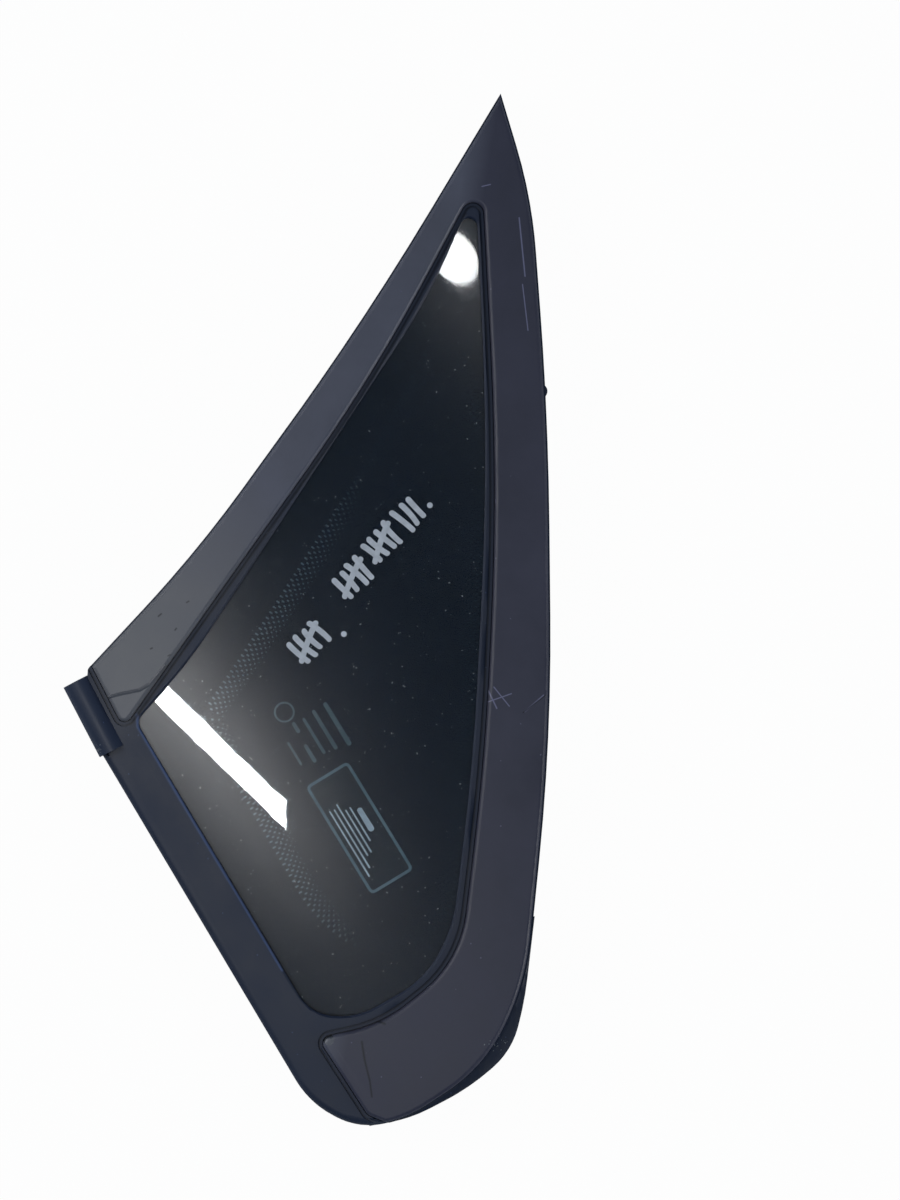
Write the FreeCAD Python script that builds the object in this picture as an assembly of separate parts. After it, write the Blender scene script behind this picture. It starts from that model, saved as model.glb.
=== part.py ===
"""Rear quarter window glass: a curved pane in a moulded frame, with its cover trim.

The window lies on its inner side, outer face up. Plan outlines are in X and Y, with +Y from the
belt corner towards the upper tip. Every relief height is measured from the pane's outer face,
square to its curve, so a thickness is the same all over the curved window.
"""
import FreeCAD, Part
import math
import os
from FreeCAD import Vector

# Curve of the pane: a cylinder whose axis runs along the belt edge
CURVE_RADIUS = 1300.0
SAME_RADIUS = 1e-4
BELT_ANGLE = -59.3
CROWN_FROM_BELT = 163.0
BACK_CLEARANCE = 7.0
SLAB_MARGIN = 15.0

# Pane, its fired border and the tint film behind it
PANE_THICKNESS = 3.85
PANE_INSET = 9.0
PANE_CORNER = 5.0
BORDER_THICKNESS = 0.1
BORDER_EDGE_GAP = 1.5
FADE_BAND = 9.0
FILM_THICKNESS = 0.15
FILM_EDGE_GAP = 1.0
LABEL_LENGTH = 61.0
LABEL_WIDTH = 24.0
LABEL_CORNER = 2.5
LABEL_THICKNESS = 0.08
LABEL_CENTRE = (25.3, -104.6)
LABEL_ANGLE = -58.6

# Moulded frame
BACK_DEPTH = 9.0
BACK_LIP = 13.6
BAND_HEIGHT = 2.4
BED_HEIGHT = 0.6
SHOULDER_ROUND = 4.0
LIP_BEVEL = 1.0
GROOVE_LAND = 1.1
GROOVE_WIDTH = 1.0
GROOVE_DEPTH = 0.9
CORNER_LIP_TOP = -1.0
CORNER_LIP_DEPTH = 5.5
CORNER_LIP_ROOT = 4.0
RIB_INSET = 7.5
RIB_WIDTH = 2.0
RIB_DEPTH = 2.5
NIB_RADIUS = 3.5
NIB_CENTRE = (111.9, 105.0)

# Cover trim, its wrap and its clips
TRIM_HEIGHT = 5.0
TRIM_WALL = 1.0
TRIM_REVEAL = 0.9
TRIM_GAP = 0.4
TRIM_ROUND = 2.0
WRAP_THICKNESS = 0.15
BARE_SPOT_RADIUS = 2.6
BARE_SPOT_CENTRE = (10.6, -206.2)
CLIP_LENGTH = 14.0
CLIP_WIDTH = 9.0
CLIP_SLOT = 4.5
CLIP_WEB = 1.2

# Rubber end of the belt seal
SEAL_RADIUS = 7.4
SEAL_BORE = 4.2
SEAL_BORE_DEPTH = 30.0
SEAL_AXIS_DROP = 2.0
SEAL_PANE_GAP = 1.5
SEAL_SEAT_HEIGHT = 1.0
SEAL_START = (-110.6, -34.0)
SEAL_END = (-93.2, -67.4)

# Adhesive left on the back when the window was cut out
ADHESIVE_WIDTH = 6.0
ADHESIVE_HEIGHT = 2.8
ADHESIVE_EDGE_GAP = 0.6
RAGGED_STEP = 5.0
RAGGED_FROM = 52.0
RAGGED_TO = 16.0
RAGGED_MEAN = 0.9
RAGGED_SWING = 0.8
RAGGED_TOP = -4.5
RAGGED_WAVES = ((2.3, 0.0, 0.6), (0.9, 1.0, 0.4))
LUMP_RADIUS = 6.0
LUMP_CENTRE = (0.6, -226.6)

# Locating pins
PIN_RADIUS = 3.0
PIN_TIP_BEVEL = 0.8
PIN_COLLAR_RADIUS = 4.2
PIN_COLLAR_STAND = 1.0
PIN_COLLAR_DEPTH = 2.6
PIN_CENTRES = ((-71.2, -83.0), (13.8, -223.2), (94.6, 150.0))

# The straight belt edge, from its front corner to where the lower corner starts to turn
BELT_FRONT = (-114.5, -42.6)
BELT_REAR = (1.1, -237.2)

# Plan outlines are corner points. A corner with a third value has that radius, and a corner with
# only a place is rounded by the largest arc that its two sides allow.
FRAME_CORNERS = (
    (93.0, 248.2, 0.0),
    (108.0, 197.9),
    (115.8, 92.3),
    (117.3, -61.0),
    (105.4, -179.3),
    (85.6, -219.6),
    (48.4, -244.3),
    (24.9, -249.3),
    BELT_REAR,
    BELT_FRONT + (0.0,),
    (-105.6, -34.6, 0.0),
    (-105.2, -28.2, 2.0),
    (-52.5, 28.2),
    (26.7, 137.3),
)

# The daylight opening
OPENING_CORNERS = (
    (-82.1, -53.7, 6.0),
    (-56.4, -24.7),
    (58.7, 150.2),
    (81.0, 202.3, 4.2),
    (87.0, 70.4),
    (79.9, -72.0),
    (70.1, -152.3),
    (56.6, -176.8),
    (23.9, -195.7),
    (1.4, -194.0),
)

# What the cover trim leaves bare: the window, the bead round it and the belt band
BARE_CORNERS = (
    (-109.5, -14.6, 0.0),
    (-88.0, -56.7, 3.5),
    (-40.1, 10.8),
    (29.9, 108.7),
    (84.0, 210.0, 5.5),
    (91.5, 62.4),
    (86.0, -67.3),
    (73.6, -168.4),
    (36.1, -198.4),
    (5.3, -205.4, 4.0),
    (29.1, -242.2, 6.0),
    (44.0, -248.0, 0.0),
    (44.0, -262.0, 0.0),
    (-20.0, -270.0, 0.0),
    (-145.0, -60.0, 0.0),
)

# The clear glass inside the fired border, at the inner edge of its rows of dots
CLEAR_CORNERS = (
    (-40.8, -52.6, 3.0),
    (-16.0, -16.0),
    (44.0, 77.0),
    (68.4, 130.0, 6.5),
    (76.8, 66.0),
    (72.6, -30.0),
    (60.0, -146.0),
    (34.0, -158.0),
    (11.0, -142.0),
)

# The lip that shows beyond the trim round the lower corner
CORNER_LIP_CORNERS = (
    (109.2, -147.0, 0.0),
    (104.4, -188.0),
    (98.2, -211.5),
    (78.0, -229.2),
    (50.0, -244.0),
    (30.0, -247.9, 0.0),
    (24.0, -236.0, 0.0),
    (84.0, -200.0, 0.0),
    (98.0, -150.0, 0.0),
)

# The foot of the front leg, which a patch of wrap covers
PATCH_CORNERS = (
    (-112.0, -46.0, 0.0),
    (-82.0, -38.6, 0.0),
    (-74.8, -36.6),
    (-66.0, -22.0, 0.0),
    (-55.0, -70.0, 0.0),
)

# Where the tint film was never laid: the lower corner of the glass
FILM_CUT_CORNERS = (
    (39.4, -171.4, 0.0),
    (32.2, -187.2, 0.0),
    (20.0, -215.0, 0.0),
    (110.0, -215.0, 0.0),
    (110.0, -158.0, 0.0),
    (66.0, -164.0, 0.0),
)
SOFT_SHARE = 0.49

# Clips under the trim: centre and direction in plan
CLIPS = (
    ((-78.0, -20.0), 50.0),
    ((-35.6, 40.0), 53.0),
    ((14.0, 105.6), 57.0),
    ((57.4, 174.6), 60.5),
    ((102.6, 110.0), 94.0),
    ((104.0, 20.0), 91.0),
    ((100.6, -70.0), 85.0),
    ((91.0, -152.0), 76.0),
    ((62.6, -207.0), 40.0),
)

PRISM_LOW = -30.0
PRISM_HIGH = 90.0

ALONG = Vector(math.cos(math.radians(BELT_ANGLE)), math.sin(math.radians(BELT_ANGLE)), 0)
UP_BODY = Vector(-ALONG.y, ALONG.x, 0)
VERTICAL = Vector(0, 0, 1)


def flat(point):
    """A plan point as a vector at height 0."""
    return Vector(point[0], point[1], 0)


def belt_distance(point):
    """How far a plan point lies up the body from the belt edge."""
    return (flat(point) - flat(BELT_FRONT)).dot(UP_BODY)


CROWN = flat(BELT_FRONT) + UP_BODY * CROWN_FROM_BELT
BACK_RADIUS = CURVE_RADIUS - BACK_DEPTH
AXIS_HEIGHT = BACK_CLEARANCE - math.sqrt(BACK_RADIUS ** 2 - CROWN_FROM_BELT ** 2)
AXIS_POINT = CROWN + VERTICAL * AXIS_HEIGHT


def height_at(point, relief):
    """Z of the surface at a relief height over a plan point."""
    across = belt_distance(point) - CROWN_FROM_BELT
    return AXIS_HEIGHT + math.sqrt((CURVE_RADIUS + relief) ** 2 - across ** 2)


def slab_span(direction):
    """How far the slab has to reach from its crown to cover the window in a plan direction."""
    return max(abs((flat(corner) - CROWN).dot(direction)) for corner in FRAME_CORNERS) + SLAB_MARGIN


def outline(corners):
    """Closed plan wire of straight sides and arcs that run smoothly into them."""
    count = len(corners)
    spans = []
    for index, corner in enumerate(corners):
        here = flat(corner)
        back = flat(corners[index - 1]) - here
        ahead = flat(corners[(index + 1) % count]) - here
        half_turn = back.getAngle(ahead) / 2
        reach = SOFT_SHARE * min(back.Length, ahead.Length)
        if len(corner) == 3:
            reach = corner[2] / math.tan(half_turn)
        radius = reach * math.tan(half_turn)
        back.normalize()
        ahead.normalize()
        middle = back + ahead
        sagitta = 0.0
        if reach:
            middle.normalize()
            sagitta = radius / math.sin(half_turn) - radius
        spans.append((here + back * reach, here + middle * sagitta, here + ahead * reach, reach))
    edges = []
    for index, (start, via, end, reach) in enumerate(spans):
        if reach:
            edges.append(Part.Arc(start, via, end).toShape())
        edges.append(Part.makeLine(end, spans[(index + 1) % count][0]))
    return Part.Wire(edges)


def rectangle(centre, length, width, angle, corner=0.0):
    """Closed plan wire of a rectangle turned about its centre, with rounded corners if wanted."""
    half_x = length / 2
    half_y = width / 2
    corners = [Vector(-half_x, -half_y, 0), Vector(half_x, -half_y, 0),
               Vector(half_x, half_y, 0), Vector(-half_x, half_y, 0)]
    wire = Part.makePolygon(corners + corners[:1])
    if corner:
        wire = wire.makeOffset2D(-corner).makeOffset2D(corner)
    wire.rotate(Vector(0, 0, 0), VERTICAL, angle)
    wire.translate(flat(centre))
    return wire


def grown(wire, distance):
    """The same plan outline moved outwards, or inwards where the distance is negative."""
    if not distance:
        return wire
    return wire.makeOffset2D(distance)


def prism(wire):
    """Upright column over a plan outline, taller than the window."""
    face = Part.Face(wire)
    face.translate(Vector(0, 0, PRISM_LOW))
    return face.extrude(Vector(0, 0, PRISM_HIGH - PRISM_LOW))


def slab(low, high):
    """Curved sheet between two relief heights, wider than the window."""
    tilt = math.asin(slab_span(UP_BODY) / CURVE_RADIUS)
    half_length = slab_span(ALONG)
    spoke = VERTICAL * math.cos(tilt) + UP_BODY * math.sin(tilt)
    corners = []
    for side, relief in ((-1, low), (1, low), (1, high), (-1, high)):
        corners.append(AXIS_POINT + ALONG * (side * half_length) + spoke * (CURVE_RADIUS + relief))
    section = Part.Face(Part.makePolygon(corners + corners[:1]))
    return section.revolve(AXIS_POINT, ALONG, math.degrees(2 * tilt))


def plate(wire, low, high):
    """Curved plate with a plan outline, between two relief heights."""
    return prism(wire).common(slab(low, high))


def ring(outer, inner, low, high):
    """Curved plate between two plan outlines."""
    return plate(outer, low, high).cut(prism(inner))


def rim(shape, relief):
    """Edges round the face that lies at a relief height."""
    edges = []
    for face in shape.Faces:
        surface = face.Surface
        if isinstance(surface, Part.Cylinder) and abs(surface.Radius - CURVE_RADIUS - relief) < SAME_RADIUS:
            edges.extend(face.Edges)
    return edges


def one_solid(shape):
    """The single solid of a boolean's result."""
    solids = sorted(shape.Solids, key=lambda solid: solid.Volume)
    return solids[-1]


def rounded(wire, distance, corner):
    """A plan outline moved inwards, its outer corners rounded."""
    return grown(grown(wire, -(distance + corner)), corner)


frame_edge = outline(FRAME_CORNERS)
opening_edge = outline(OPENING_CORNERS)
bare_edge = outline(BARE_CORNERS)
clear_edge = outline(CLEAR_CORNERS)
pane_edge = rounded(frame_edge, PANE_INSET, PANE_CORNER)
back_edge = rounded(frame_edge, PANE_INSET + BACK_LIP, PANE_CORNER)
border_back = -PANE_THICKNESS - BORDER_THICKNESS
film_back = border_back - FILM_THICKNESS


def make_pane():
    """Tempered pane with rounded corners, buried in the frame all round."""
    return plate(pane_edge, -PANE_THICKNESS, 0)


def make_border():
    """Black border fired on the pane's inner face, out to just short of its ground edge."""
    outer = grown(pane_edge, -BORDER_EDGE_GAP)
    return ring(outer, grown(clear_edge, FADE_BAND), border_back, -PANE_THICKNESS)


def make_label():
    """Thin printed rectangle laid on the pane behind the lower part of the daylight."""
    sheet = rectangle(LABEL_CENTRE, LABEL_LENGTH, LABEL_WIDTH, LABEL_ANGLE, LABEL_CORNER)
    return plate(sheet, -PANE_THICKNESS - LABEL_THICKNESS, -PANE_THICKNESS)


def make_film(border, label):
    """Tint film laid over the glass, the border and the label, with the lower corner left without."""
    film = plate(grown(back_edge, -FILM_EDGE_GAP), film_back, -PANE_THICKNESS)
    return one_solid(film.cut(prism(outline(FILM_CUT_CORNERS))).cut(border).cut(label))


def trim_outline(inset=0.0):
    """Plan outline of the wrapped cover trim, moved inwards by an inset."""
    whole = Part.Face(grown(frame_edge, -TRIM_REVEAL))
    trim = whole.cut(Part.Face(bare_edge))
    wire = max(trim.Faces, key=lambda face: face.Area).OuterWire
    return grown(wire, -inset)


def trim_block(inset=0.0):
    """Full block of the trim's outer form, its upper edges rounded, smaller all round by an inset."""
    top = TRIM_HEIGHT - inset
    block = plate(trim_outline(inset), BED_HEIGHT, top)
    return block.makeFillet(TRIM_ROUND - inset, rim(block, top))


def make_trim(bare_block):
    """V-shaped cover pressed from sheet: a rounded channel, open underneath."""
    under = WRAP_THICKNESS + TRIM_WALL
    hollow = plate(trim_outline(under), BED_HEIGHT, TRIM_HEIGHT - under)
    return one_solid(bare_block.cut(hollow))


def make_wrap(bare_block):
    """Black film stretched over the trim, in a main sheet and a patch over the front leg's foot."""
    skin = trim_block().cut(bare_block)
    patch_column = prism(outline(PATCH_CORNERS))
    spot = Part.makeCylinder(BARE_SPOT_RADIUS, PRISM_HIGH, flat(BARE_SPOT_CENTRE))
    main_sheet = one_solid(skin.cut(patch_column).cut(spot))
    return main_sheet, one_solid(skin.common(patch_column))


def seal_direction():
    """Unit vector along the rubber end of the belt seal."""
    run = flat(SEAL_END) - flat(SEAL_START)
    return run.normalize()


def seal_rod(radius, length):
    """Round bar on the seal's axis, from its cut end."""
    start = flat(SEAL_START) + VERTICAL * height_at(SEAL_START, -SEAL_AXIS_DROP)
    return Part.makeCylinder(radius, length, start, seal_direction())


def seal_body():
    """The seal's rubber end as a solid bar, notched where it passes over the pane's corner."""
    length = (flat(SEAL_END) - flat(SEAL_START)).Length
    notch = plate(grown(pane_edge, SEAL_PANE_GAP), -BACK_DEPTH - SEAL_RADIUS, SEAL_SEAT_HEIGHT)
    return one_solid(seal_rod(SEAL_RADIUS, length).cut(notch))


def make_seal_end():
    """Round rubber end of the belt seal, hollow from its cut end."""
    return one_solid(seal_body().cut(seal_rod(SEAL_BORE, SEAL_BORE_DEPTH)))


def make_pin(centre):
    """Locating pin: a round shank below a collar that is moulded into the frame's back."""
    back = height_at(centre, -BACK_DEPTH)
    collar_foot = back - PIN_COLLAR_STAND
    shank = Part.makeCylinder(PIN_RADIUS, collar_foot, flat(centre))
    tip_edge = [edge for edge in shank.Edges if edge.BoundBox.ZMax < PIN_TIP_BEVEL]
    shank = shank.makeChamfer(PIN_TIP_BEVEL, tip_edge)
    collar = Part.makeCylinder(PIN_COLLAR_RADIUS, PIN_COLLAR_STAND + PIN_COLLAR_DEPTH,
                               flat(centre) + VERTICAL * collar_foot)
    return shank.fuse(collar).removeSplitter()


def groove_cutter():
    """Narrow channel that follows the trim's inner edge."""
    outer = grown(bare_edge, -(TRIM_GAP + GROOVE_LAND))
    inner = grown(bare_edge, -(TRIM_GAP + GROOVE_LAND + GROOVE_WIDTH))
    return ring(outer, inner, BAND_HEIGHT - GROOVE_DEPTH, TRIM_HEIGHT)


def make_frame(pane, border, pins):
    """Frame moulded round the pane's edge: lip, bead, belt band, bed for the trim and back ribs."""
    block = plate(frame_edge, -BACK_DEPTH, BAND_HEIGHT)
    belt_side = [edge for edge in frame_edge.Edges if belt_distance(edge.CenterOfMass) < SHOULDER_ROUND]
    belt_edges = edges_near(rim(block, BAND_HEIGHT), Part.Compound(belt_side))
    bare_column = prism(bare_edge)
    band = block.makeFillet(SHOULDER_ROUND, belt_edges).common(bare_column)
    frame = band.fuse(block.cut(bare_column)).removeSplitter().cut(prism(opening_edge))
    frame = frame.makeChamfer(LIP_BEVEL, edges_near(rim(frame, BAND_HEIGHT), opening_edge))
    bed = plate(grown(frame_edge, PANE_INSET), BED_HEIGHT, TRIM_HEIGHT)
    frame = frame.cut(bed.cut(prism(grown(bare_edge, -TRIM_GAP))))
    frame = frame.cut(groove_cutter())
    frame = frame.cut(plate(back_edge, -BACK_DEPTH - RIB_DEPTH, -PANE_THICKNESS))
    lip = ring(outline(CORNER_LIP_CORNERS), grown(frame_edge, -CORNER_LIP_ROOT),
               CORNER_LIP_TOP - CORNER_LIP_DEPTH, CORNER_LIP_TOP)
    nib = Part.makeCylinder(NIB_RADIUS, PRISM_HIGH, flat(NIB_CENTRE)).common(slab(-BACK_DEPTH, BED_HEIGHT))
    rib_edge = grown(frame_edge, -RIB_INSET)
    rib = ring(rib_edge, grown(rib_edge, -RIB_WIDTH), -BACK_DEPTH - RIB_DEPTH, -BACK_DEPTH)
    frame = frame.fuse([lip, nib, rib])
    for held in [pane, border, seal_body()] + pins:
        frame = frame.cut(held)
    return one_solid(frame)


def edges_near(edges, wire):
    """The edges whose middle lies over a plan outline."""
    near = []
    for edge in edges:
        middle = edge.valueAt((edge.FirstParameter + edge.LastParameter) / 2)
        if Part.Vertex(middle.x, middle.y, 0).distToShape(wire)[0] < 1e-3:
            near.append(edge)
    return near


def ragged_strip():
    """Plan outline of the adhesive squeezed out past the belt edge, its outer side torn unevenly."""
    belt_length = (flat(BELT_REAR) - flat(BELT_FRONT)).Length
    torn_length = belt_length - RAGGED_FROM - RAGGED_TO
    count = round(torn_length / RAGGED_STEP)
    start = flat(BELT_FRONT) + ALONG * RAGGED_FROM
    torn = []
    for index in range(count + 1):
        swing = sum(math.sin(index * turn + phase) * share for turn, phase, share in RAGGED_WAVES)
        out = RAGGED_MEAN + RAGGED_SWING * swing
        torn.append(start + ALONG * (torn_length * index / count) - UP_BODY * out)
    inside = [torn[-1] + UP_BODY * ADHESIVE_WIDTH, torn[0] + UP_BODY * ADHESIVE_WIDTH]
    corners = torn + inside
    return Part.makePolygon(corners + corners[:1])


def make_adhesive(frame, seal_end):
    """Bead of body adhesive, cut through and left on the frame's back, torn along the belt edge."""
    outer = grown(frame_edge, -ADHESIVE_EDGE_GAP)
    foot = -BACK_DEPTH - ADHESIVE_HEIGHT
    bead = ring(outer, grown(outer, -ADHESIVE_WIDTH), foot, -BACK_DEPTH)
    torn = plate(ragged_strip(), foot, RAGGED_TOP)
    lump = Part.makeCylinder(LUMP_RADIUS, PRISM_HIGH, flat(LUMP_CENTRE)).common(slab(foot, RAGGED_TOP))
    return one_solid(bead.fuse([torn, lump]).cut(frame).cut(seal_end))


def make_clip(centre, angle):
    """Channel-shaped clip between the frame's bed and the trim's underside."""
    top = TRIM_HEIGHT - WRAP_THICKNESS - TRIM_WALL
    clip = plate(rectangle(centre, CLIP_LENGTH, CLIP_WIDTH, angle), BED_HEIGHT, top)
    slot = rectangle(centre, CLIP_LENGTH + CLIP_SLOT, CLIP_SLOT, angle)
    return clip.cut(plate(slot, BED_HEIGHT + CLIP_WEB, top))


def write(name, solid):
    """Save one piece as a STEP file of its own."""
    solid.exportStep("parts/" + name + ".step")
    box = solid.BoundBox
    print(name, solid.isValid(), len(solid.Solids), round(solid.Volume, 1), round(box.ZMin, 2))


def main():
    """Build every piece and save it."""
    os.makedirs("parts", exist_ok=True)
    pane = make_pane()
    border = make_border()
    label = make_label()
    bare_block = trim_block(WRAP_THICKNESS)
    wrap_sheet, wrap_patch = make_wrap(bare_block)
    seal_end = make_seal_end()
    pins = [make_pin(centre) for centre in PIN_CENTRES]
    frame = make_frame(pane, border, pins)
    write("glass_pane", pane)
    write("printed_border", border)
    write("tint_film", make_film(border, label))
    write("film_label", label)
    write("moulded_frame", frame)
    write("cover_trim", make_trim(bare_block))
    write("wrap_sheet", wrap_sheet)
    write("wrap_patch", wrap_patch)
    write("belt_seal_end", seal_end)
    write("adhesive_bead", make_adhesive(frame, seal_end))
    for number, pin in enumerate(pins, start=1):
        write("locating_pin_%d" % number, pin)
    for number, (centre, angle) in enumerate(CLIPS, start=1):
        write("trim_clip_%d" % number, make_clip(centre, angle))


if __name__ == "__main__":
    main()
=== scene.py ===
"""Looks of a quarter window glass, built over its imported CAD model.

All the pieces are made flat, with a height above the pane's outer face in Z, and then bent over the
curve of the window.
"""

import math
import random

import bmesh
import bpy
from bpy.props import (
    FloatProperty,
    FloatVectorProperty,
    IntProperty,
    PointerProperty,
)
from mathutils import Matrix, Vector
from mathutils.bvhtree import BVHTree
from mathutils.geometry import interpolate_bezier


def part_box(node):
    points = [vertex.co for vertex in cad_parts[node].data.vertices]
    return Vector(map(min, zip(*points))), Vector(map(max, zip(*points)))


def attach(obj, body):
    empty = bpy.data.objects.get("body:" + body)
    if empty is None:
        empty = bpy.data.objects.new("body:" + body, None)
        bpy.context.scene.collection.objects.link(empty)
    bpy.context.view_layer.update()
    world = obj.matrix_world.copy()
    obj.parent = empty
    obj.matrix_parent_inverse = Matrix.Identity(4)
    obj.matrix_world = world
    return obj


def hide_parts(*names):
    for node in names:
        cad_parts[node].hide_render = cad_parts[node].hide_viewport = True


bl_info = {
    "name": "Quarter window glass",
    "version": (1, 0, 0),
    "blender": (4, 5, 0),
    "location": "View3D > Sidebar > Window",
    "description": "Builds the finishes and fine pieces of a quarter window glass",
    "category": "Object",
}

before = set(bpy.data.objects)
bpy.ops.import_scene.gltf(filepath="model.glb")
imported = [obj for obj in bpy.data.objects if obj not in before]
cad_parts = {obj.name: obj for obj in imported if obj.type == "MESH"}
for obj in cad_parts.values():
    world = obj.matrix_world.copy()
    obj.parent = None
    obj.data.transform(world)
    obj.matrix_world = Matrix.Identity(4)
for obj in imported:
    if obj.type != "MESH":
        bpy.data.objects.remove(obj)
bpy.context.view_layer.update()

MM = 0.001

# Curve of the window: a cylinder whose axis runs along the belt edge
CURVE_RADIUS = 1.3
BELT_FRONT = Vector((-0.1145, -0.0426))
BELT_ANGLE = math.radians(-59.3)
ALONG = Vector((math.cos(BELT_ANGLE), math.sin(BELT_ANGLE)))
UP_BODY = Vector((-ALONG.y, ALONG.x))
CROWN_FROM_BELT = 0.163
AXIS_HEIGHT = 0.007 - math.sqrt(1.291 ** 2 - CROWN_FROM_BELT ** 2)
PANE_BACK = -3.85 * MM
PRINT_THICKNESS = 0.006 * MM
MARKER_THICKNESS = 0.08 * MM
DOWN = Vector((0, 0, -1))
# How far from the crown line the work is cut into strips, enough for the whole window
SLICE_REACH = 0.24

# The clear glass inside the printed border: corner points and, where given, a radius, in mm
CLEAR_CORNERS = (
    (-40.8, -52.6, 3.0),
    (-16.0, -16.0, 0.0),
    (44.0, 77.0, 0.0),
    (68.4, 130.0, 6.5),
    (76.8, 66.0, 0.0),
    (72.6, -30.0, 0.0),
    (60.0, -146.0, 0.0),
    (34.0, -158.0, 0.0),
    (11.0, -142.0, 0.0),
)
# Rows of dots from the border inwards: distance outside the clear glass, length and width, in mm
DOT_ROWS = (
    (9.0, 1.9, 0.95),
    (7.0, 1.6, 0.9),
    (5.2, 1.3, 0.85),
    (3.5, 1.0, 0.8),
    (1.9, 0.8, 0.7),
    (0.5, 0.55, 0.5),
)
# How far each layer stands off the pane's inner face, so that each shows before the next, in mm
PRINT_DROP = 0.05
DOT_DROP = 0.09
LABEL_DROP = 0.13
BORDER_DROP = 0.17
FILM_DROP = 0.24
PRINT_TOP = PANE_BACK - PRINT_DROP * MM

# Film label behind the glass, in mm
LABEL_CENTRE = Vector((25.3, -104.6))
LABEL_ANGLE = math.radians(-58.6)
LABEL_SIZE = (60.8, 23.8)
LABEL_CORNER = 2.5
LABEL_LINE = 1.4
# Plain bars on the label: centre along and across it, length and width, in mm
LABEL_BARS = (
    (-2.0, 4.6, 13.0, 3.0),
    (-1.5, 1.2, 19.0, 0.9),
    (1.0, -1.2, 24.0, 0.9),
    (-1.0, -3.5, 29.0, 0.9),
    (2.5, -5.8, 33.0, 0.9),
    (4.0, -8.1, 37.0, 0.9),
)
# Approval ring, in mm
RING_CENTRE = Vector((-10.8, -49.0))
RING_RADIUS = 5.0
RING_LINE = 0.9
# Faint bars beside the ring: centre in plan, length and width, in mm
FAINT_BARS = (
    ((14.6, -54.6), 24.0, 2.4),
    ((8.6, -57.4), 22.0, 2.0),
    ((3.4, -60.4), 20.0, 1.6),
    ((-5.2, -56.4), 6.0, 2.0),
    ((1.6, -68.8), 10.0, 2.0),
    ((-5.8, -69.0), 13.0, 1.2),
)

# Tally of marker strokes: centre in plan, number of strokes, and whether one more crosses them, in mm
TALLIES = (
    ((1.0, -15.4), 4, True),
    ((22.1, 15.4), 4, True),
    ((35.9, 32.3), 4, True),
    ((49.0, 45.8), 3, False),
)
TALLY_PITCH = 4.7
# Range of the strokes' lengths, most they lean aside in degrees, most they bow, and the crossing stroke
STROKE_LENGTHS = (13.0, 15.5)
STROKE_LEAN = 7
STROKE_BOW = 0.8
CROSSING_LENGTH = 22.0
MARKER_DOTS = ((17.8, -11.5), (59.0, 50.2))
WRITING_ANGLE = math.radians(46.0)

# Lamps that light the window from the sides: centre, size and level, in m
SIDE_LAMPS = {
    "side_left": ((-1.9, 0.5, 1.3), (1.6, 1.2), 3.2),
    "side_right": ((2.6, -0.9, 1.0), (1.2, 1.0), 6.0),
}
# Lamps that only show mirrored in the glass: centre, size, level, turn and shape, in m
MIRRORED_LAMPS = {
    "strip": ((-0.46, -0.177, 1.5), (0.458, 0.033), 75.0, math.radians(-24), "RECTANGLE"),
    "spot": ((0.279, 0.375, 1.5), (0.042, 0.078), 30.0, BELT_ANGLE, "ELLIPSE"),
}
ROOM_COLOUR = (0.42, 0.66, 1.0)
# Point under the middle of the picture, and the height at which its scale holds, in m
VIEW_CENTRE = (0.06864, 0.0048)
SHARP_HEIGHT = 0.02


def across_of(x, y):
    """How far a plan point lies from the crown line, up the body."""
    return (Vector((x, y)) - BELT_FRONT).dot(UP_BODY) - CROWN_FROM_BELT


def bend(bm):
    """Bend flat work over the window's curve: Z holds the height above the pane's outer face."""
    for vertex in bm.verts:
        across = across_of(vertex.co.x, vertex.co.y)
        vertex.co.z = AXIS_HEIGHT + math.sqrt((CURVE_RADIUS + vertex.co.z) ** 2 - across ** 2)


def unbend(bm):
    """Lay curved work flat: Z becomes the height above the pane's outer face."""
    for vertex in bm.verts:
        across = across_of(vertex.co.x, vertex.co.y)
        vertex.co.z = math.hypot(vertex.co.z - AXIS_HEIGHT, across) - CURVE_RADIUS


def slice_along(bm, step, direction, origin, reach):
    """Cut the work into strips by upright planes, so that it can follow the curve."""
    normal = direction.to_3d()
    count = int(reach / step)
    for index in range(-count, count + 1):
        place = origin.to_3d() + normal * (index * step)
        geometry = bm.verts[:] + bm.edges[:] + bm.faces[:]
        bmesh.ops.bisect_plane(bm, geom=geometry, plane_co=place, plane_no=normal, dist=1e-6)


def piece_from(bm, name, material, sharp=math.radians(32)):
    """Make an object of the work, riding on the window."""
    mesh = bpy.data.meshes.new(name)
    bm.to_mesh(mesh)
    bm.free()
    mesh.polygons.foreach_set("use_smooth", [True] * len(mesh.polygons))
    mesh.set_sharp_from_angle(angle=sharp)
    mesh.materials.append(material)
    piece = bpy.data.objects.new(name, mesh)
    bpy.context.scene.collection.objects.link(piece)
    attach(piece, "root")
    return piece


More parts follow.
